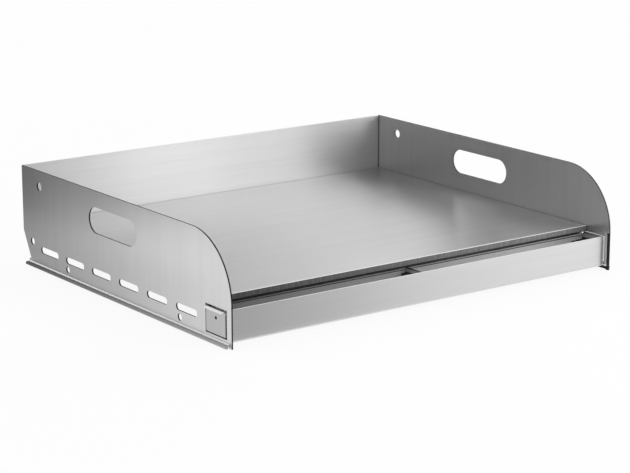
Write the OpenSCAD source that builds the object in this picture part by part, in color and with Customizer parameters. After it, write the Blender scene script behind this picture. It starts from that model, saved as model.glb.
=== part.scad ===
// Camp griddle plate: a thick cooking plate welded into a sheet steel windshield,
// with a grease channel across the front and two trays that draw out sideways.
// The object stands on its rolled foot edges. X runs to the right, Y to the rear.

/* [Overall] */
// Width over the outer faces of the two side panels
overall_width = 600; // [520:5:760]
// Depth from the front edge to the rear edge of a side panel
overall_depth = 495; // [470:5:600]
// Height of the side and back panels above the surface they stand on
panel_height = 132; // [125:1:160]
// Sheet thickness of the side and back panels
panel_sheet = 2; // [1.5:0.25:2.5]

/* [Griddle plate] */
// Height of the cooking surface
plate_top = 53; // [52:0.5:58]
// Thickness of the cooking plate
plate_thickness = 8; // [5:0.5:9]
// Distance from the panels' front edge back to the plate's front edge
plate_setback = 42.5; // [38:0.5:46]
// Open seam between the plate's rear edge and the back panel
rear_seam = 1; // [0.8:0.1:2]
// Open seam at each side of the plate, the back panel and the channel, bridged by welds
side_seam = 0.8; // [0.4:0.1:1.5]
// How far the back panel's lower flange reaches forward under the plate
back_flange = 22; // [15:1:40]

/* [Side panels] */
// Radius of the front top corner
corner_radius = 82; // [40:1:90]
// Height at which the sloping rear cut leaves the rear edge
rear_cut_top = 45; // [40:1:50]
// Height at which the sloping rear cut ends
rear_cut_bottom = 10; // [8:1:14]
// How far the sloping rear cut comes forward
rear_cut_run = 18; // [8:1:26]
// Length of the hand hole
hand_hole_length = 115; // [95:1:130]
// Height of the hand hole
hand_hole_height = 34; // [28:1:38]
// Middle of the hand hole, behind the middle of the panel
hand_hole_shift = 16; // [0:1:30]
// Middle of the hand hole, below the panel's top edge
hand_hole_drop = 38; // [34:0.5:42]
// Diameter of the hanging hole at the rear top corner
hang_hole_d = 12; // [6:0.5:14]
// Hanging hole's distance from the rear edge
hang_hole_inset = 46; // [30:1:60]
// Hanging hole's distance below the top edge
hang_hole_drop = 21; // [16:0.5:30]
// Diameter of the hole at the rear lower corner
low_hole_d = 10; // [6:0.5:12]
// Lower hole's distance from the rear edge
low_hole_inset = 24; // [22:1:30]
// Lower hole's height
low_hole_z = 33; // [30:0.5:38]
// Number of vent slots
vent_count = 6; // [3:1:6]
// Length of a vent slot
vent_length = 46; // [20:1:52]
// Height of a vent slot
vent_height = 9; // [6:0.5:10]
// Last vent slot's middle, behind the rear edge of the tray window
vent_window_gap = 41.2; // [36:0.2:50]
// Height of the vent slots' middle line
vent_z = 26; // [25:0.5:28]
// First vent slot's distance from the rear edge
vent_inset = 69.5; // [60:0.5:72]
// Diameter of the two fixing holes above the foot
fixing_hole_d = 9; // [4:0.5:9]
// Height of the fixing holes
fixing_hole_z = 13.5; // [13:0.5:14]
// Distance between the two fixing holes
fixing_hole_spacing = 268; // [200:1:290]
// Middle of the two fixing holes, in front of the middle of the panel
fixing_hole_shift = 3; // [0:0.5:6]
// How far the hemmed foot edge stands out from the panel
foot_reach = 6; // [5.5:0.5:10]

/* [Grease channel] */
// Sheet thickness of the channel
channel_sheet = 1.5; // [1:0.25:2]
// Distance from the panels' front edge back to the channel's front face
channel_setback = 7.5; // [5:0.5:10]
// Height of the channel's front wall
channel_top = 45; // [42:0.5:50]
// Height of the channel's underside
channel_bottom = 4.5; // [3.5:0.5:5.5]
// Front to back length of the windows that the trays pass through
window_length = 45; // [40:0.5:46]
// Height of the windows' lower edge above the channel's floor
sill_rise = 3.5; // [3:0.5:5]
// Height of the windows
window_height = 35; // [34:0.5:38]

/* [Grease trays] */
// Sheet thickness of the trays
tray_sheet = 1.2; // [0.8:0.1:1.5]
// Gap between a tray and the front edge of its window
tray_front_gap = 2.5; // [2.4:0.1:3]
// Gap between a tray and the rear edge of its window
tray_rear_gap = 1; // [0.6:0.1:1.5]
// Gap under a tray
tray_lift = 0.8; // [0.4:0.1:1]
// Height of the trays' open top
tray_top = 39.5; // [34:0.5:40]
// Width of the pull lip
lip_width = 36; // [24:1:36]
// How far the pull lip stands out
lip_reach = 4.5; // [3.5:0.5:8]
// Height of the pull lip's crest below the window's upper edge
lip_drop = 1.4; // [1:0.1:3]
// Diameter of the hook hole in a tray's outer end
hook_hole_d = 4; // [3:0.5:8]
// Height of the hook hole
hook_hole_z = 31; // [26:0.5:33]

/* [Hidden] */
$fn = 64;
bend_steps = 8;

// Side and back panels
side_x = overall_width / 2;
inner_x = side_x - panel_sheet;
rear_y = overall_depth / 2;
front_y = -rear_y;
back_inner_y = rear_y - panel_sheet;
back_bend = panel_sheet;
toe_length = 5;
foot_top = 8;
foot_bend = 1.5 * panel_sheet;
hem_gap = 0.2;
hem_bend = panel_sheet / 2 + hem_gap / 4;
hem_clear = 0.8;
hem_return = foot_reach - panel_sheet / 2 - hem_clear;
foot_past_cut = 4.5;
foot_rear_y = rear_y - rear_cut_run + foot_past_cut;

// Griddle plate
plate_under = plate_top - plate_thickness;
plate_front_y = front_y + plate_setback;
plate_rear_y = back_inner_y - rear_seam;
seam_x = inner_x - side_seam;

// Grease channel and its windows
channel_front_y = front_y + channel_setback;
window_slack = 0.3;
window_front_y = channel_front_y + channel_sheet + window_slack;
window_rear_y = window_front_y + window_length;
channel_floor = channel_bottom + channel_sheet;
window_sill = channel_floor + sill_rise;
window_top = window_sill + window_height;
vent_pitch = (rear_y - vent_inset - window_rear_y - vent_window_gap) / (vent_count - 1);
channel_bend = 3;
channel_flange = 14;
end_roll = 3.5;

// Trays
tray_front_y = window_front_y + tray_front_gap;
tray_rear_y = window_rear_y - tray_rear_gap;
tray_mid_y = (tray_front_y + tray_rear_y) / 2;
tray_width = tray_rear_y - tray_front_y;
tray_bottom = window_sill + tray_lift;
tray_bend = 2;
tray_gap = 0.7;
stop_sheet = 1.2;
tray_inner_x = stop_sheet / 2 + tray_gap;
lip_crest = window_top - lip_drop;
lip_bend = 1.4;
lip_fall = 3;
end_top = lip_crest - 2 * lip_bend;

// Tray stop
stop_half_width = 12;
stop_foot = 10;
stop_depth = tray_width - 12;
stop_top = tray_top - 8;
shelf_gap = 0.3;
stop_bend = 0.8;

// Welds
stitch_leg = 4;
stitch_length = 30;
stitch_count = 5;
bead_length = 16;
bead_count = 3;
bead_setback = 0.6 * panel_sheet;
tack_leg = 3;
tack_length = 24;

module along_x(x, length) {
  translate([x, 0, 0]) rotate([90, 0, 90]) linear_extrude(length) children();
}

module along_y(y, length) {
  translate([0, y + length, 0]) rotate([90, 0, 0]) linear_extrude(length) children();
}

module left() {
  mirror([1, 0, 0]) children();
}

module both_sides() {
  children();
  left() children();
}

// Outline of a folded sheet along a centre line: one bend radius for each inner point.
function unit(v) = v / norm(v);
function normal_of(v) = [-v.y, v.x] / norm(v);
function turn_of(a, b) = sign(a.x * b.y - a.y * b.x);
function bend_points(a, b, c, radius, side) =
  let (
    u = unit(a - b),
    v = unit(c - b),
    half = acos(u * v) / 2,
    turn = turn_of(b - a, c - b),
    centre = b + unit(u + v) * radius / sin(half),
    start = b + u * radius / tan(half) - centre,
    first = atan2(start.y, start.x),
    sweep = turn * (180 - 2 * half),
    reach = radius - side * turn
  )
  [for (k = [0 : bend_steps])
    centre + reach * [cos(first + sweep * k / bend_steps), sin(first + sweep * k / bend_steps)]];
function sheet_side(path, radii, side) =
  let (last = len(path) - 1)
  concat(
    [path[0] + side * normal_of(path[1] - path[0])],
    [for (k = [1 : last - 1])
      each bend_points(path[k - 1], path[k], path[k + 1], radii[k - 1], side)],
    [path[last] + side * normal_of(path[last] - path[last - 1])]
  );
function reversed(list) = [for (k = [len(list) - 1 : -1 : 0]) list[k]];

module folded_sheet(path, radii, thickness) {
  polygon(concat(
    sheet_side(path, radii, thickness / 2),
    reversed(sheet_side(path, radii, -thickness / 2))
  ));
}

module obround(length, height) {
  square([length - height, height], center = true);
  for (side = [-1, 1])
    translate([side * (length - height) / 2, 0]) circle(d = height);
}

// Flat part of a side panel, as seen from the right: Y across, Z up.
module panel_outline() {
  arc_y = front_y + corner_radius;
  arc_z = panel_height - corner_radius;
  difference() {
    union() {
      translate([arc_y, foot_top]) square([rear_y - arc_y, panel_height - foot_top]);
      translate([front_y, foot_top]) square([corner_radius, arc_z - foot_top]);
      translate([front_y, 0]) square([toe_length, foot_top]);
      intersection() {
        translate([arc_y, arc_z]) circle(corner_radius, $fn = 128);
        translate([front_y, arc_z]) square(corner_radius);
      }
    }
    polygon([
      [rear_y, rear_cut_top],
      [rear_y - rear_cut_run, rear_cut_bottom],
      [rear_y - rear_cut_run, 0],
      [rear_y + 1, 0],
      [rear_y + 1, rear_cut_top]
    ]);
  }
}

module panel_openings() {
  translate([hand_hole_shift, panel_height - hand_hole_drop])
    obround(hand_hole_length, hand_hole_height);
  for (k = [0 : vent_count - 1])
    translate([rear_y - vent_inset - k * vent_pitch, vent_z]) obround(vent_length, vent_height);
  translate([window_front_y, window_sill]) square([window_length, window_height]);
}

module panel_holes() {
  translate([rear_y - hang_hole_inset, panel_height - hang_hole_drop]) circle(d = hang_hole_d);
  translate([rear_y - low_hole_inset, low_hole_z]) circle(d = low_hole_d);
  for (side = [-1, 1])
    translate([side * fixing_hole_spacing / 2 - fixing_hole_shift, fixing_hole_z])
      circle(d = fixing_hole_d);
}

// Lower edge of a side panel: bent outwards, with its hem folded underneath.
module panel_foot() {
  middle_x = side_x - panel_sheet / 2;
  hem_x = side_x + foot_reach - panel_sheet / 2;
  hem_z = 1.5 * panel_sheet + hem_gap;
  folded_sheet(
    [
      [middle_x, foot_top],
      [middle_x, hem_z],
      [hem_x, hem_z],
      [hem_x, panel_sheet / 2],
      [hem_x - hem_return, panel_sheet / 2]
    ],
    [foot_bend, hem_bend, hem_bend],
    panel_sheet
  );
}

module side_panel() {
  difference() {
    along_x(inner_x, panel_sheet) panel_outline();
    along_x(inner_x - 1, panel_sheet + 2) panel_openings();
    along_x(inner_x - 1, panel_sheet + 2) panel_holes();
  }
  along_y(front_y + toe_length, foot_rear_y - front_y - toe_length) panel_foot();
}

module left_side_panel() {
  color("silver") left() side_panel();
}

module right_side_panel() {
  color("silver") side_panel();
}

module griddle_plate() {
  color("lightgray")
    translate([-seam_x, plate_front_y, plate_under])
      cube([2 * seam_x, plate_rear_y - plate_front_y, plate_thickness]);
}

// The back panel's lower edge is folded forward and carries the plate's rear edge.
module back_panel() {
  middle_y = rear_y - panel_sheet / 2;
  flange_z = plate_under - panel_sheet / 2;
  color("gainsboro")
    along_x(-seam_x, 2 * seam_x)
      folded_sheet(
        [[middle_y, panel_height], [middle_y, flange_z], [rear_y - back_flange, flange_z]],
        [back_bend],
        panel_sheet
      );
}

// Round end of the channel's front wall, turned back towards the window.
module channel_end_roll() {
  roll_bottom = channel_bottom + channel_bend;
  translate([seam_x - end_roll, channel_front_y + end_roll, roll_bottom])
    linear_extrude(channel_top - roll_bottom)
      intersection() {
        difference() {
          circle(end_roll);
          circle(end_roll - channel_sheet);
        }
        translate([0, -end_roll]) square(end_roll);
      }
}

// Front wall, floor and rear wall of one folded sheet, with a flange under the plate.
module grease_channel() {
  half = channel_sheet / 2;
  front_mid = channel_front_y + half;
  floor_mid = channel_bottom + half;
  rear_mid = window_rear_y + half;
  floor_start = channel_front_y + 2 * channel_bend;
  color("lightgray") {
    along_x(end_roll - seam_x, 2 * (seam_x - end_roll))
      folded_sheet(
        [[front_mid, channel_top], [front_mid, floor_mid], [floor_start, floor_mid]],
        [channel_bend],
        channel_sheet
      );
    along_x(-seam_x, 2 * seam_x)
      folded_sheet(
        [
          [floor_start, floor_mid],
          [rear_mid, floor_mid],
          [rear_mid, plate_under - half],
          [rear_mid + channel_flange, plate_under - half]
        ],
        [channel_bend, channel_bend],
        channel_sheet
      );
    both_sides() channel_end_roll();
  }
}

// Hat section on the channel's floor: its shelf carries the trays' inner ends and its rib stops them.
module tray_stop() {
  half = stop_sheet / 2;
  low = channel_floor + half;
  high = tray_bottom - shelf_gap - half;
  stop_y = tray_mid_y - stop_depth / 2;
  color("darkgray") {
    along_y(stop_y, stop_depth)
      folded_sheet(
        [
          [-stop_half_width - stop_foot, low],
          [-stop_half_width, low],
          [-stop_half_width, high],
          [stop_half_width, high],
          [stop_half_width, low],
          [stop_half_width + stop_foot, low]
        ],
        [stop_bend, stop_bend, stop_bend, stop_bend],
        stop_sheet
      );
    along_y(stop_y, stop_depth) translate([-half, high]) square([stop_sheet, stop_top - high]);
  }
}

module tray_body() {
  half = tray_sheet / 2;
  color("silver")
    along_x(tray_inner_x + tray_sheet, side_x - tray_inner_x - 2 * tray_sheet)
      folded_sheet(
        [
          [tray_front_y + half, tray_top],
          [tray_front_y + half, tray_bottom + half],
          [tray_rear_y - half, tray_bottom + half],
          [tray_rear_y - half, tray_top]
        ],
        [tray_bend, tray_bend],
        tray_sheet
      );
}

module tray_end_outline(top) {
  radius = tray_bend + tray_sheet / 2;
  for (y = [tray_front_y + radius, tray_rear_y - radius])
    translate([y, tray_bottom + radius]) circle(radius);
  translate([tray_front_y + radius, tray_bottom]) square([tray_width - 2 * radius, radius]);
  translate([tray_front_y, tray_bottom + radius]) square([tray_width, top - tray_bottom - radius]);
}

// Outer end: it fills the window and carries the hook hole and the pull lip.
module tray_outer_end() {
  middle_x = side_x - tray_sheet / 2;
  lip_rise = lip_crest - tray_sheet / 2 + lip_bend;
  color("silver") {
    difference() {
      along_x(side_x - tray_sheet, tray_sheet) tray_end_outline(end_top);
      along_x(side_x - tray_sheet - 1, tray_sheet + 2)
        translate([tray_mid_y, hook_hole_z]) circle(d = hook_hole_d);
    }
    along_y(tray_mid_y - lip_width / 2, lip_width)
      folded_sheet(
        [
          [middle_x, end_top],
          [middle_x, lip_rise],
          [side_x + lip_reach, lip_crest - lip_fall]
        ],
        [lip_bend],
        tray_sheet
      );
  }
}

module tray_inner_end() {
  color("silver") along_x(tray_inner_x, tray_sheet) tray_end_outline(tray_top);
}

module left_tray_body() {
  left() tray_body();
}

module left_tray_outer_end() {
  left() tray_outer_end();
}

module left_tray_inner_end() {
  left() tray_inner_end();
}

module right_tray_body() {
  tray_body();
}

module right_tray_outer_end() {
  tray_outer_end();
}

module right_tray_inner_end() {
  tray_inner_end();
}

// Stitch welds in the corner between the plate's underside and each side panel.
module plate_welds() {
  first_y = window_rear_y + channel_sheet + channel_flange + stitch_length;
  last_y = rear_y - back_flange - 2 * stitch_length;
  step = (last_y - first_y) / (stitch_count - 1);
  color("dimgray")
    both_sides()
      for (k = [0 : stitch_count - 1])
        along_y(first_y + k * step, stitch_length)
          polygon([
            [inner_x, plate_under],
            [inner_x - stitch_leg, plate_under],
            [inner_x, plate_under - stitch_leg]
          ]);
}

// Beads in the seams between the back panel's ends and the side panels.
module rear_corner_welds() {
  low = plate_top;
  step = (panel_height - low) / bead_count;
  color("dimgray")
    both_sides()
      for (k = [0 : bead_count - 1])
        translate([seam_x, back_inner_y + bead_setback, low + (k + 0.5) * step - bead_length / 2])
          cube([side_seam, panel_sheet - bead_setback, bead_length]);
}

// A bead under each end of the channel's floor.
module channel_welds() {
  color("dimgray")
    both_sides()
      along_y(tray_mid_y - tack_length / 2, tack_length)
        polygon([
          [inner_x, channel_bottom],
          [inner_x - tack_leg, channel_bottom],
          [inner_x, channel_bottom - tack_leg]
        ]);
}

griddle_plate();
back_panel();
left_side_panel();
right_side_panel();
grease_channel();
tray_stop();
left_tray_body();
left_tray_outer_end();
left_tray_inner_end();
right_tray_body();
right_tray_outer_end();
right_tray_inner_end();
plate_welds();
rear_corner_welds();
channel_welds();
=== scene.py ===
"""Looks of the camp griddle plate: brushed stainless steel sheets round a thick cooking plate."""
import math

import bmesh
import bpy
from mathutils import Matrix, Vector


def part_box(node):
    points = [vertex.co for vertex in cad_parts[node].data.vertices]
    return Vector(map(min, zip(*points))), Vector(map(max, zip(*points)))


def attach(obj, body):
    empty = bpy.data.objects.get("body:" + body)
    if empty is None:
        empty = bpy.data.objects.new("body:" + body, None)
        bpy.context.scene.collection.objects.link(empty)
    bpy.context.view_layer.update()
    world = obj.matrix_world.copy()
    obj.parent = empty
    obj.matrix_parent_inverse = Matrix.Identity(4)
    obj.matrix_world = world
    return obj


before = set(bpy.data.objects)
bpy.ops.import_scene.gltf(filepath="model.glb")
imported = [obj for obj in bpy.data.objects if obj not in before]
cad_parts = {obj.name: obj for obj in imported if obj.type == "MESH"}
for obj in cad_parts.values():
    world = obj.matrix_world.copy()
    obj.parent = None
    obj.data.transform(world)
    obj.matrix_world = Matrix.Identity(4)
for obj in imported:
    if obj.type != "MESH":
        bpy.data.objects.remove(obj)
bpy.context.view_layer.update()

# Camera, in metres and degrees. The picture is taken as 630 by 473 pixels.
PICTURE_WIDTH = 630
SENSOR_WIDTH = 36.0
FOCAL_PIXELS = 2082.3
CAMERA_PLACE = (-1.5801, -2.1579, 0.7139)
CAMERA_TURN = -36.22
CAMERA_DOWN = 14.14
CAMERA_REACH = 100

# Steel tones, as linear grey. A pair gives the grey at the two ends of a fade.
PLATE_TONE = 0.74
PANEL_TONE = 0.78
BACK_TONE = 0.96
CHANNEL_TONE = 0.76
# Painted shade: the tray steel is darker towards the left and lighter towards the right, as the
# light falls.
TRAY_SHADED_TONE = (0.66, 0.96)
END_TONE = 0.58
# Painted highlight on the plate's top front edge, the channel's top front edge and the trays' pull
# lips.
EDGE_HIGHLIGHT_TONE = 0.95
# Painted shade on the crest of the pull lip.
CREST_SHADE_TONE = 0.12
# Dark cut edges; the same grey is painted shade on a strip at the front of the side panels' inner
# faces.
CUT_EDGE_AND_SHADE_TONE = 0.05
# The plate's sawn front face is dark grey; its fade from darker at the left to lighter at the
# right is painted shade.
SAWN_SHADED_TONE = (0.12, 0.31)
# Painted shadow of the plate on the channel's rear wall.
PLATE_SHADOW_TONE = 0.16
# Painted shade inside the trays: low on the end walls, and on the rear wall beside the inner ends.
INNER_SHADE_TONE = 0.08
# Painted light on the trays' inner end walls, above their painted shade.
INNER_END_LIT_TONE = 0.4
# Painted shade on the foot flanges: lighter at the front, darker at the rear.
FOOT_SHADED_TONE = (0.45, 0.1)
# Painted highlight along the bend of the foot flanges.
BEND_HIGHLIGHT_TONE = 0.95
# Painted highlight on the rim of the trays' rear walls, darker at the left.
RIM_HIGHLIGHT_TONE = (0.25, 0.9)
# Painted shade on the trays' rear walls: darker at the left, lighter at the right.
TRAY_WALL_SHADED_TONE = (0.38, 0.98)
# Painted shadow lines and painted shade in gaps and hollows.
SHADOW_BLACK_TONE = 0.02
WELD_TONE = 0.35
# The corner weld runs are near black: painted shade in the rear corners.
SEAM_SHADE_TONE = 0.04
BRIGHTEST_TONE = 0.99

# A fade runs between these two places, in metres.
FADE_ENDS = (-0.27, 0.27)

# How far a mark is matte instead of metallic.
SHINY = 0
SATIN = 0.6
DULL = 0.65
MATTE = 0.8
CHALKY = 0.9

# Roughness of the sheets, the marks and the welds, and what the noise adds to that of a sheet.
PANEL_ROUGH = 0.32
TRAY_ROUGH = 0.36
SHEET_ROUGH = 0.4
MARK_ROUGH = 0.5
WELD_ROUGH = (0.35, 0.55)
FINE_ROUGH = (-0.04, 0.05)
CLOUD_ROUGH = 0.02

# Noise: length and width of a streak in metres, and how far its values lie from a half.
FINE_STREAK = (0.12, 0.0006)
BROAD_STREAK = (0.5, 0.012)
DRAG_STREAK = (0.012, 0.0008)
CLOUD_SIZE = (0.2, 0.2)
RIPPLE_SIZE = (0.0012, 0.0012)
CLOUD_DETAIL = 2.0
DRAG_DETAIL = 4.0
NOISE_REACH = 0.2
WIDE_REACH = 0.25

# Shares by which the noise changes a tone.
FINE_SHADE = (0.96, 1.03)
BROAD_SHADE = 0.02
MARK_WEAR = 0.4
MATTE_WEAR = 0.05
WELD_SHADE = (0.7, 1.3)

# Gloss along the brush lines, and bump as strength and depth in metres.
BRUSH_STRETCH = 0.75
BRUSH_TURN = 0.25
BRUSH_BUMP = (0.15, 0.00008)
WELD_BUMP = (0.5, 0.0004)

# Edge rounding of the sheets, in metres and degrees.
EDGE_ROUND = 0.0003
EDGE_STEPS = 2
EDGE_ANGLE = 40
FLAT_ANGLE = 0.5
SAME_POINT = 0.00001

# The weld run in each rear corner, in metres. Depths are from the back panel's rear face.
SEAM_RINGS = 96
SEAM_RING_POINTS = 5
SEAM_RIPPLE = 0.00006
SEAM_RIPPLE_TURN = math.pi / 2
SEAM_HOLLOW = 0.0002
SEAM_FRONT_DEPTH = 0.0016
SEAM_REAR_DEPTH = 0.0009
SEAM_TOP_CLEAR = 0.001

EVEN = (0, 0, 0)
ALONG_X = (1, 0, 0)
ALONG_Z = (0, 0, 1)


class Graph:
    """Short names for building one material's nodes."""

    def __init__(self, material):
        material.use_nodes = True
        self.tree = material.node_tree
        self.shader = self.tree.nodes["Principled BSDF"]

    def node(self, kind, **inputs):
        made = self.tree.nodes.new(kind)
        for name, value in inputs.items():
            self.put(made.inputs[name.replace("_", " ")], value)
        return made

    def put(self, socket, value):
        if isinstance(value, bpy.types.NodeSocket):
            self.tree.links.new(value, socket)
        else:
            socket.default_value = value

    def math(self, kind, first, second=0.0, clamp=False):
        made = self.tree.nodes.new("ShaderNodeMath")
        made.operation = kind
        made.use_clamp = clamp
        self.put(made.inputs[0], first)
        self.put(made.inputs[1], second)
        return made.outputs[0]

    def remap(self, value, low, high, to_low, to_high):
        limits = {"From_Min": low, "From_Max": high, "To_Min": to_low, "To_Max": to_high}
        return self.node("ShaderNodeMapRange", Value=value, **limits).outputs[0]

    def vary(self, noise, low, high, reach=NOISE_REACH):
        """Noise that lies within reach of a half, spread from low to high."""
        return self.remap(noise, 0.5 - reach, 0.5 + reach, low, high)

    def mix(self, factor, first, second):
        """A plain number that is first where factor is 0 and second where it is 1."""
        made = self.tree.nodes.new("ShaderNodeMix")
        made.data_type = "FLOAT"
        self.put(made.inputs[0], factor)
        self.put(made.inputs[2], first)
        self.put(made.inputs[3], second)
        return made.outputs[0]

    def grey(self, value):
        """A colour with the same value in each channel."""
        return self.node("ShaderNodeCombineColor", Red=value, Green=value, Blue=value).outputs[0]

    def streaks(self, along, length, width, detail=3.0):
        """Noise drawn out along one direction: length and width of a streak in metres."""
        place = self.tree.nodes.new("ShaderNodeTexCoord").outputs["Object"]
        scale = [1 / length if part else 1 / width for part in along]
        spread = self.node("ShaderNodeMapping", Vector=place, Scale=scale)
        noise = self.node("ShaderNodeTexNoise", Vector=spread.outputs[0], Scale=1.0, Detail=detail)
        return noise.outputs[0]

    def bump(self, height, strength, depth):
        made = self.node("ShaderNodeBump", Height=height, Strength=strength, Distance=depth)
        self.put(self.shader.inputs["Normal"], made.outputs[0])

    def normal(self, axis):
        geometry = self.tree.nodes.new("ShaderNodeNewGeometry")
        split = self.node("ShaderNodeSeparateXYZ", Vector=geometry.outputs["Normal"])
        return split.outputs[axis]

    def place(self, axis):
        place = self.tree.nodes.new("ShaderNodeTexCoord").outputs["Object"]
        return self.node("ShaderNodeSeparateXYZ", Vector=place).outputs[axis]

    def reach(self, axis):
        """Distance from the middle plane."""
        return self.math("ABSOLUTE", self.place(axis))

    def outward(self, axis):
        """The normal's part that points away from the middle plane."""
        return self.math("MULTIPLY", self.math("SIGN", self.place(axis)), self.normal(axis))

    def zone(self, limits):
        """1 where each named part of the place or the normal is within its limits, 0 elsewhere."""
        inside = 1.0
        for name, (low, high) in limits.items():
            kind, axis = name.split()
            part = getattr(self, kind)(axis)
            above = self.math("GREATER_THAN", part, low)
            below = self.math("LESS_THAN", part, high)
            inside = self.math("MULTIPLY", inside, self.math("MULTIPLY", above, below))
        return inside


def brushed_steel(name, tone, grain, roughness, marks=(), fade="X"):
    """Brushed steel of one grey, or of two greys along fade.

    Each mark is a zone, the steel's grey or two greys in it, and how far it is matte there."""
    material = bpy.data.materials.new(name)
    graph = Graph(material)
    fine = graph.streaks(grain, *FINE_STREAK)
    broad = graph.streaks(grain, *BROAD_STREAK)
    cloud = graph.streaks(EVEN, *CLOUD_SIZE, CLOUD_DETAIL)

    def along_fade(grey):
        if isinstance(grey, tuple):
            return graph.remap(graph.place(fade), *FADE_ENDS, *grey)
        return grey

    lines = graph.vary(broad, -BROAD_SHADE, BROAD_SHADE)
    shade = graph.math("ADD", graph.vary(fine, *FINE_SHADE), lines)
    value = graph.math("MULTIPLY", shade, along_fade(tone))
    rough = graph.vary(fine, *(roughness + step for step in FINE_ROUGH), WIDE_REACH)
    rough = graph.math("ADD", rough, graph.vary(cloud, -CLOUD_ROUGH, CLOUD_ROUGH))
    height = fine
    metal = 1.0
    for limits, mark_tone, matte in marks:
        marked = graph.zone(limits)
        if matte:
            lost = graph.math("MULTIPLY", marked, matte)
            metal = graph.math("SUBTRACT", metal, lost, clamp=True)
        drag = graph.streaks(ALONG_Z, *DRAG_STREAK, DRAG_DETAIL)
        wear = MATTE_WEAR if matte > SATIN else MARK_WEAR
        worn = graph.vary(drag, 1 - wear, 1 + wear)
        mark_value = graph.math("MULTIPLY", worn, along_fade(mark_tone))
        value = graph.mix(marked, value, mark_value)
        rough = graph.mix(marked, rough, MARK_ROUGH)
        height = graph.mix(marked, height, drag)

    shader = graph.shader
    shader.inputs["Anisotropic"].default_value = BRUSH_STRETCH
    shader.inputs["Anisotropic Rotation"].default_value = BRUSH_TURN
    direction = graph.tree.nodes.new("ShaderNodeCombineXYZ")
    for part, amount in enumerate(grain):
        direction.inputs[part].default_value = amount
    colour = graph.grey(graph.math("MINIMUM", value, BRIGHTEST_TONE))
    graph.put(shader.inputs["Tangent"], direction.outputs[0])
    graph.put(shader.inputs["Metallic"], metal)
    graph.put(shader.inputs["Base Color"], colour)
    graph.put(shader.inputs["Roughness"], rough)
    graph.bump(height, *BRUSH_BUMP)
    return material


def weld_metal(name, tone):
    """Rippled weld metal of one grey."""
    material = bpy.data.materials.new(name)
    graph = Graph(material)
    ripple = graph.streaks(EVEN, *RIPPLE_SIZE)
    shade = graph.vary(ripple, *(tone * share for share in WELD_SHADE))
    shader = graph.shader
    shader.inputs["Metallic"].default_value = 1.0
    graph.put(shader.inputs["Base Color"], graph.grey(shade))
    graph.put(shader.inputs["Roughness"], graph.vary(ripple, *WELD_ROUGH))
    graph.bump(ripple, *WELD_BUMP)
    return material


def dress(node, material):
    """Gives a CAD node its material and a fine edge rounding."""
    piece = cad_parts[node]
    piece.data.materials.clear()
    piece.data.materials.append(material)
    weld = piece.modifiers.new("weld", "WELD")
    weld.merge_threshold = SAME_POINT
    flat = piece.modifiers.new("flat", "DECIMATE")
    flat.decimate_type = "DISSOLVE"
    flat.angle_limit = math.radians(FLAT_ANGLE)
    edge = piece.modifiers.new("edge", "BEVEL")
    edge.width = EDGE_ROUND
    edge.segments = EDGE_STEPS
    edge.limit_method = "ANGLE"
    edge.angle_limit = math.radians(EDGE_ANGLE)
    piece.modifiers.new("shade", "WEIGHTED_NORMAL")
    piece.data.shade_smooth()


# Limits of a zone. The normal's parts run from -1 to 1, and places are in metres within FAR.
FAR = 1
FRONT = INWARD = (-2, -0.5)
UP = OUTWARD = (0.5, 2)
EDGE_ON = (-0.5, 0.5)

PLATE_SHADOW_BAND = (0, 0.0459)
PLATE_FRONT = (-FAR, -0.2035)
PLATE_TOP = (0.0526, FAR)

ABOVE_FOOT = (0.0085, FAR)
PANEL_EDGE = (0, 0.3003)
STRIP_DEPTH = (-FAR, -0.2437)
STRIP_RISE = (0, 0.05)
FOOT_SHADE_RISE = (-FAR, 0.005)
FOOT_REACH = (0.302, FAR)
FOOT_RISE = (-FAR, 0.0043)
BEND_REACH = (0.3001, 0.303)
BEND_RISE = (0.0041, 0.0075)
BEND_SLOPE = (0.15, 0.985)

REAR_WALL = (-0.2, FAR)
FRONT_WALL = (-FAR, -0.238)
FRONT_WALL_TOP = (0.044, FAR)

RIM_TOP = (0.0385, FAR)
RIM_FACE = (0.0371, FAR)
RIM_SHADOW_LINE = (0.0371, 0.0382)
MIDDLE_REACH = (0, 0.009)
MIDDLE_RISE = (0, 0.034)
CORNER_REACH = (0.28, FAR)
CORNER_RISE = (0.012, 0.032)

# Height up to which the end walls carry painted shade.
END_SHADE_RISE = (0, 0.0355)
END_RISE = (0, 0.039)
PULL_REACH = (0.3002, FAR)
PULL_RISE = (0.039, 0.0425)
PULL_CREST = (0.0425, FAR)
END_FRONT = (-FAR, -0.235)
END_FOOT = (0, 0.0111)

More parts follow.
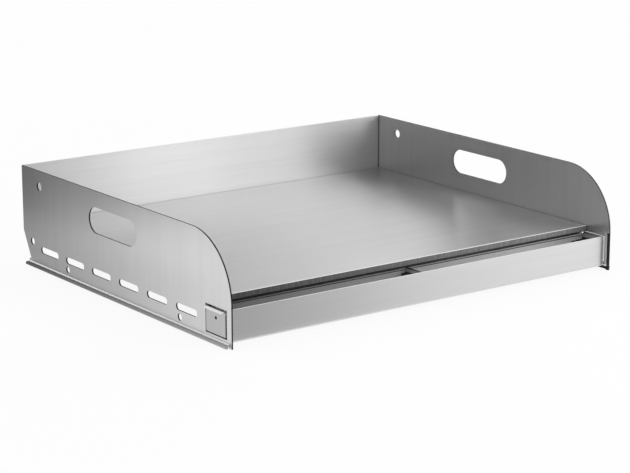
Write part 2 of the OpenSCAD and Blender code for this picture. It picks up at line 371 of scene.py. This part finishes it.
plate_marks = (
    # The sawn front face, with painted shade fading along X.
    ({"normal Y": FRONT}, SAWN_SHADED_TONE, SATIN),
    # Painted shadow line along the bottom of the plate's front face.
    ({"normal Y": FRONT, "place Z": PLATE_SHADOW_BAND}, SHADOW_BLACK_TONE, SHINY),
    # Painted highlight along the front edge of the plate's top.
    ({"place Y": PLATE_FRONT, "place Z": PLATE_TOP}, EDGE_HIGHLIGHT_TONE, CHALKY),
)
side_marks = (
    ({"normal X": EDGE_ON, "place Z": ABOVE_FOOT}, CUT_EDGE_AND_SHADE_TONE, SHINY),
    ({"normal Y": FRONT, "reach X": PANEL_EDGE}, CUT_EDGE_AND_SHADE_TONE, SHINY),
    # Painted shade on a strip at the front of the side panels' inner faces.
    ({"outward X": INWARD, "place Y": STRIP_DEPTH, "place Z": STRIP_RISE}, CUT_EDGE_AND_SHADE_TONE, SHINY),
    # Painted shade low on the side panels' inner faces.
    ({"outward X": INWARD, "place Z": FOOT_SHADE_RISE}, SHADOW_BLACK_TONE, SHINY),
    # Painted shade on the foot flanges, fading from front to rear.
    ({"reach X": FOOT_REACH, "place Z": FOOT_RISE}, FOOT_SHADED_TONE, MATTE),
    # Painted highlight along the foot bend.
    ({"reach X": BEND_REACH, "place Z": BEND_RISE, "normal Z": BEND_SLOPE}, BEND_HIGHLIGHT_TONE, MATTE),
)
channel_marks = (
    # Painted shadow of the plate on the channel's rear wall.
    ({"normal Y": FRONT, "place Y": REAR_WALL}, PLATE_SHADOW_TONE, SHINY),
    # Painted highlight along the top edge of the channel's front wall.
    ({"normal Z": UP, "place Y": FRONT_WALL, "place Z": FRONT_WALL_TOP}, EDGE_HIGHLIGHT_TONE, CHALKY),
)
tray_wall = {"normal Y": FRONT, "place Y": REAR_WALL}
tray_marks = (
    # Painted shade on the rear wall, fading along X.
    (tray_wall, TRAY_WALL_SHADED_TONE, DULL),
    # Painted shade on the rear wall beside the inner ends.
    (tray_wall | {"place Z": MIDDLE_RISE, "reach X": MIDDLE_REACH}, INNER_SHADE_TONE, SHINY),
    # Painted highlight on the rim's top and on the top of the rear wall.
    ({"normal Z": UP, "place Z": RIM_TOP, "place Y": REAR_WALL}, RIM_HIGHLIGHT_TONE, MATTE),
    (tray_wall | {"place Z": RIM_FACE}, RIM_HIGHLIGHT_TONE, MATTE),
    # Painted shadow line under the rim.
    (tray_wall | {"place Z": RIM_SHADOW_LINE}, SHADOW_BLACK_TONE, SHINY),
    # Painted shade on the rear wall near the outer ends.
    (tray_wall | {"place Z": CORNER_RISE, "reach X": CORNER_REACH}, SHADOW_BLACK_TONE, SHINY),
)
outer_end_marks = (
    ({"normal X": EDGE_ON, "place Z": END_RISE}, CUT_EDGE_AND_SHADE_TONE, SHINY),
    # Painted shade low on the inner face of the outer end.
    ({"outward X": INWARD, "place Z": END_SHADE_RISE}, INNER_SHADE_TONE, SHINY),
    # Painted highlight on the pull lip.
    ({"reach X": PULL_REACH, "place Z": PULL_RISE}, EDGE_HIGHLIGHT_TONE, CHALKY),
    # Painted shade on the crest of the pull lip.
    ({"reach X": PULL_REACH, "place Z": PULL_CREST}, CREST_SHADE_TONE, MATTE),
    # Painted shade lines along the front and the foot of the end face.
    ({"outward X": OUTWARD, "place Y": END_FRONT, "place Z": END_RISE}, SHADOW_BLACK_TONE, SHINY),
    ({"outward X": OUTWARD, "place Z": END_FOOT}, SHADOW_BLACK_TONE, SHINY),
)
inner_end_marks = (
    # Painted light on the inner end's face.
    ({"outward X": OUTWARD}, INNER_END_LIT_TONE, MATTE),
    # Painted shade low on the inner end's face.
    ({"outward X": OUTWARD, "place Z": END_SHADE_RISE}, INNER_SHADE_TONE, SHINY),
)

plate_steel = brushed_steel("plate_steel", PLATE_TONE, ALONG_X, PANEL_ROUGH, plate_marks)
back_steel = brushed_steel("back_steel", BACK_TONE, ALONG_X, SHEET_ROUGH)
side_steel = brushed_steel("side_steel", PANEL_TONE, ALONG_Z, PANEL_ROUGH, side_marks, fade="Y")
channel_steel = brushed_steel("channel_steel", CHANNEL_TONE, ALONG_X, SHEET_ROUGH, channel_marks)
tray_steel = brushed_steel("tray_steel", TRAY_SHADED_TONE, ALONG_X, TRAY_ROUGH, tray_marks)
outer_end_steel = brushed_steel("outer_end_steel", END_TONE, ALONG_Z, PANEL_ROUGH, outer_end_marks)
inner_end_steel = brushed_steel("inner_end_steel", END_TONE, ALONG_Z, PANEL_ROUGH, inner_end_marks)
weld_steel = weld_metal("weld_steel", WELD_TONE)
seam_shade_steel = weld_metal("seam_shade_steel", SEAM_SHADE_TONE)

dress("griddle_plate", plate_steel)
dress("back_panel", back_steel)
for side in ("left", "right"):
    dress(f"{side}_side_panel", side_steel)
    dress(f"{side}_tray_body", tray_steel)
    dress(f"{side}_tray_outer_end", outer_end_steel)
    dress(f"{side}_tray_inner_end", inner_end_steel)
dress("grease_channel", channel_steel)
dress("tray_stop", channel_steel)
for node in ("plate_welds", "rear_corner_welds", "channel_welds"):
    dress(node, weld_steel)


def corner_seam(side):
    """The rippled run of weld in the seam between the back panel and one side panel. Its
    near-black grey is painted shade in the corner.
    """
    back_low, back_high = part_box("back_panel")
    side_low, side_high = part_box(f"{side}_side_panel")
    left, right = (side_high[0], back_low[0]) if side == "left" else (back_high[0], side_low[0])
    middle = (left + right) / 2
    low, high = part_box("griddle_plate")[1][2], back_high[2] - SEAM_TOP_CLEAR
    rear = back_high[1] - SEAM_REAR_DEPTH
    front = back_high[1] - SEAM_FRONT_DEPTH
    count = SEAM_RING_POINTS
    points, faces = [], []
    for ring in range(SEAM_RINGS + 1):
        z = low + (high - low) * ring / SEAM_RINGS
        wave = front + SEAM_RIPPLE * math.sin(ring * SEAM_RIPPLE_TURN)
        points += [(left, wave, z), (middle, wave + SEAM_HOLLOW, z), (right, wave, z),
                   (right, rear, z), (left, rear, z)]
    for ring in range(SEAM_RINGS):
        for k in range(count):
            a, b = count * ring + k, count * ring + (k + 1) % count
            faces.append((a, b, b + count, a + count))
    faces += [tuple(reversed(range(count))), tuple(count * SEAM_RINGS + k for k in range(count))]
    mesh = bpy.data.meshes.new(f"{side}_corner_seam")
    mesh.from_pydata(points, [], faces)
    skin = bmesh.new()
    skin.from_mesh(mesh)
    bmesh.ops.recalc_face_normals(skin, faces=skin.faces)
    skin.to_mesh(mesh)
    skin.free()
    piece = bpy.data.objects.new(f"{side}_corner_seam", mesh)
    mesh.materials.append(seam_shade_steel)
    mesh.shade_smooth()
    bpy.context.scene.collection.objects.link(piece)
    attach(piece, "griddle")


for side in ("left", "right"):
    corner_seam(side)


WHITE = (1, 1, 1, 1)

# The floor: half its width and its level in metres, its finish, and the share of it that glows.
FLOOR_HALF = 15
FLOOR_LEVEL = -0.0002
FLOOR_COLOUR = (0.9, 0.9, 0.9, 1)
FLOOR_ROUGH = 0.8
FLOOR_GLOW = 0.88

# Upright cards: name, direction from the middle, ends along the card, low and high edge,
# and stops, each a place along the card and its strength.
REAR_RIGHT = (0.591, 0.807)
REAR_LEFT = (-0.591, 0.807)
FRONT_RIGHT = (0.591, -0.807)
FRONT_LEFT = (-0.591, -0.807)
RIGHT_SPAN = (-0.73, 1.3)
LEFT_SPAN = (-1.3, 0.73)
WALL_CARDS = (
    ("card_rear_right", REAR_RIGHT, RIGHT_SPAN, (0.003, 1.2),
     ((-0.3, 0.45), (0, 0.79), (0.175, 1.08), (0.23, 1.45), (0.295, 0.2), (0.95, 0.72))),
    ("card_rear_left_base", REAR_LEFT, LEFT_SPAN, (0.003, 0.2), ((0, 0.05),)),
    ("card_rear_left_low", REAR_LEFT, LEFT_SPAN, (0.2, 0.4),
     ((-0.95, 0.75), (-0.4, 0.55), (0.5, 1.3))),
    ("card_rear_left_high", REAR_LEFT, LEFT_SPAN, (0.4, 0.6),
     ((-0.95, 0.53), (-0.4, 0.32), (0.5, 0))),
    ("card_rear_left_top", REAR_LEFT, LEFT_SPAN, (0.6, 1.4), ((0, 0.27),)),
    ("card_front_right", FRONT_RIGHT, RIGHT_SPAN, (0.003, 1.5),
     ((-0.45, 0), (-0.25, 0.42), (-0.1, 1.3), (0.1, 1.43), (0.35, 1.43), (1.0, 1.25))),
    ("card_front_left", FRONT_LEFT, LEFT_SPAN, (0.003, 1.2), ((-0.6, 0), (0, 0.1), (0.5, 0.9))),
)

# Cards on the floor: name, start, length along the object, direction out, near and far edge,
# and stops, each a place from 0 to 1 and its strength.
LEFT_START, LEFT_ALONG, LEFT_RUN = (-0.307, -0.3, 0.002), (0, 1.05, 0), (-0.573, 0.783, 0)
FRONT_START, FRONT_ALONG, FRONT_RUN = (-0.4, -0.245, 0.001), (0.8, 0, 0), (0.573, -0.783, 0)
FLOOR_CARDS = (
    ("card_floor_left_near", LEFT_START, LEFT_ALONG, LEFT_RUN, (0, 0.287),
     ((0.05, 0.88), (0.3, 0.57), (0.55, 0.35), (0.9, 0))),
    ("card_floor_left_mid", LEFT_START, LEFT_ALONG, LEFT_RUN, (0.287, 0.615),
     ((0.05, 1.13), (0.25, 0.9), (0.4, 0.1), (0.9, 0))),
    ("card_floor_left_far", LEFT_START, LEFT_ALONG, LEFT_RUN, (0.615, 0.984), ((0, 0.5),)),
    ("card_floor_front", FRONT_START, FRONT_ALONG, FRONT_RUN, (0, 0.984),
     ((0.125, 0.52), (0.5, 0.75), (0.875, 0.82))),
)

# The ceiling card: corner, two sides and stops.
CEILING = ((-1.5, -1.5, 1.5), (3, 0, 0), (0, 3, 0), ((0.167, 0), (0.5, 0.25), (0.833, 0.45)))

# The lamp, in metres and watts.
SOFTBOX_SIZE = (1.0, 0.8)
SOFTBOX_WATTS = 5
SOFTBOX_PLACE = (1.4, -1.5, 0.7)
SOFTBOX_AIM = (0, 0, 0.05)


def white_floor(name):
    """Pale floor that reads as white and keeps a soft shadow."""
    material = bpy.data.materials.new(name)
    graph = Graph(material)
    shader = graph.shader
    shader.inputs["Base Color"].default_value = FLOOR_COLOUR
    shader.inputs["Roughness"].default_value = FLOOR_ROUGH
    rays = graph.tree.nodes.new("ShaderNodeLightPath")
    seen = graph.math("MAXIMUM", rays.outputs["Is Camera Ray"], rays.outputs["Is Glossy Ray"])
    seen = graph.math("MAXIMUM", seen, rays.outputs["Is Transmission Ray"])
    glow = graph.node("ShaderNodeEmission", Strength=1.0, Color=WHITE)
    blend = graph.tree.nodes.new("ShaderNodeMixShader")
    graph.put(blend.inputs[0], graph.math("MULTIPLY", seen, FLOOR_GLOW))
    graph.put(blend.inputs[1], shader.outputs[0])
    graph.put(blend.inputs[2], glow.outputs[0])
    graph.put(graph.tree.nodes["Material Output"].inputs["Surface"], blend.outputs[0])
    return material


def card_light(name, stops):
    """Light of a studio card that goes through the stops along the card's first side."""
    material = bpy.data.materials.new(name)
    graph = Graph(material)
    brightest = max(strength for _, strength in stops)
    ramp = graph.node("ShaderNodeValToRGB")
    elements = ramp.color_ramp.elements
    while len(elements) < len(stops):
        elements.new(0.5)
    for element, (place, strength) in zip(elements, stops):
        share = strength / brightest
        element.position = place
        element.color = (share, share, share, 1)
    along = graph.tree.nodes.new("ShaderNodeUVMap")
    split = graph.node("ShaderNodeSeparateXYZ", Vector=along.outputs["UV"])
    graph.put(ramp.inputs["Fac"], split.outputs["X"])
    glow = graph.node("ShaderNodeEmission", Strength=brightest, Color=ramp.outputs["Color"])
    graph.put(graph.tree.nodes["Material Output"].inputs["Surface"], glow.outputs[0])
    return material


def stage_sheet(name, corner, along, across, material):
    """A flat stage piece with its first side along and its second side across."""
    corner, along, across = Vector(corner), Vector(along), Vector(across)
    corners = [corner, corner + along, corner + along + across, corner + across]
    mesh = bpy.data.meshes.new(name)
    mesh.from_pydata(corners, [], [(0, 1, 2, 3)])
    for loop, place in zip(mesh.uv_layers.new().data, ((0, 0), (1, 0), (1, 1), (0, 1))):
        loop.uv = place
    mesh.materials.append(material)
    piece = bpy.data.objects.new(name, mesh)
    bpy.context.scene.collection.objects.link(piece)
    return piece


def studio_card(name, corner, along, across, stops):
    """A card beside the object that only the steel's reflections see."""
    piece = stage_sheet(name, corner, along, across, card_light(name, stops))
    piece.visible_camera = False
    piece.visible_diffuse = False
    piece.visible_shadow = False


def wall_card(name, out, span, rise, stops):
    """An upright card 1 m from the middle; its places are metres along it, towards +X."""
    start, end = span
    low, high = rise
    side = Vector((out[1], -out[0], 0))
    if side.x < 0:
        side.negate()
    corner = Vector((*out, low)) + side * start
    places = [((place - start) / (end - start), strength) for place, strength in stops]
    studio_card(name, corner, side * (end - start), (0, 0, high - low), places)


def floor_card(name, start, along, run, edges, stops):
    """A card on the floor beside the object, between its two edges in metres along run."""
    near, far = edges
    run = Vector(run)
    studio_card(name, Vector(start) + run * near, along, run * (far - near), stops)


def make_stage():
    corner, side = (-FLOOR_HALF, -FLOOR_HALF, FLOOR_LEVEL), 2 * FLOOR_HALF
    stage_sheet("floor", corner, (side, 0, 0), (0, side, 0), white_floor("floor_white"))
    for card in WALL_CARDS:
        wall_card(*card)
    for card in FLOOR_CARDS:
        floor_card(*card)
    studio_card("card_ceiling", *CEILING)


def make_light():
    scene = bpy.context.scene
    world = bpy.data.worlds.new("studio")
    scene.world = world
    world.use_nodes = True
    back = world.node_tree.nodes["Background"]
    back.inputs["Color"].default_value = WHITE
    back.inputs["Strength"].default_value = 1.0
    scene.view_settings.view_transform = "Standard"
    lamp = bpy.data.lights.new("softbox", "AREA")
    lamp.shape = "RECTANGLE"
    lamp.size, lamp.size_y = SOFTBOX_SIZE
    lamp.energy = SOFTBOX_WATTS
    holder = bpy.data.objects.new("softbox", lamp)
    holder.location = SOFTBOX_PLACE
    aim = Vector(SOFTBOX_AIM) - holder.location
    holder.rotation_euler = aim.to_track_quat("-Z", "Y").to_euler()
    holder.visible_glossy = False
    scene.collection.objects.link(holder)


def make_camera():
    lens = bpy.data.cameras.new("photo_camera")
    lens.sensor_fit = "HORIZONTAL"
    lens.sensor_width = SENSOR_WIDTH
    lens.lens = SENSOR_WIDTH * FOCAL_PIXELS / PICTURE_WIDTH
    lens.clip_end = CAMERA_REACH
    camera = bpy.data.objects.new("photo_camera", lens)
    camera.location = CAMERA_PLACE
    camera.rotation_euler = (math.radians(90 - CAMERA_DOWN), 0, math.radians(CAMERA_TURN))
    bpy.context.scene.collection.objects.link(camera)
    bpy.context.scene.camera = camera


make_stage()
make_light()
make_camera()
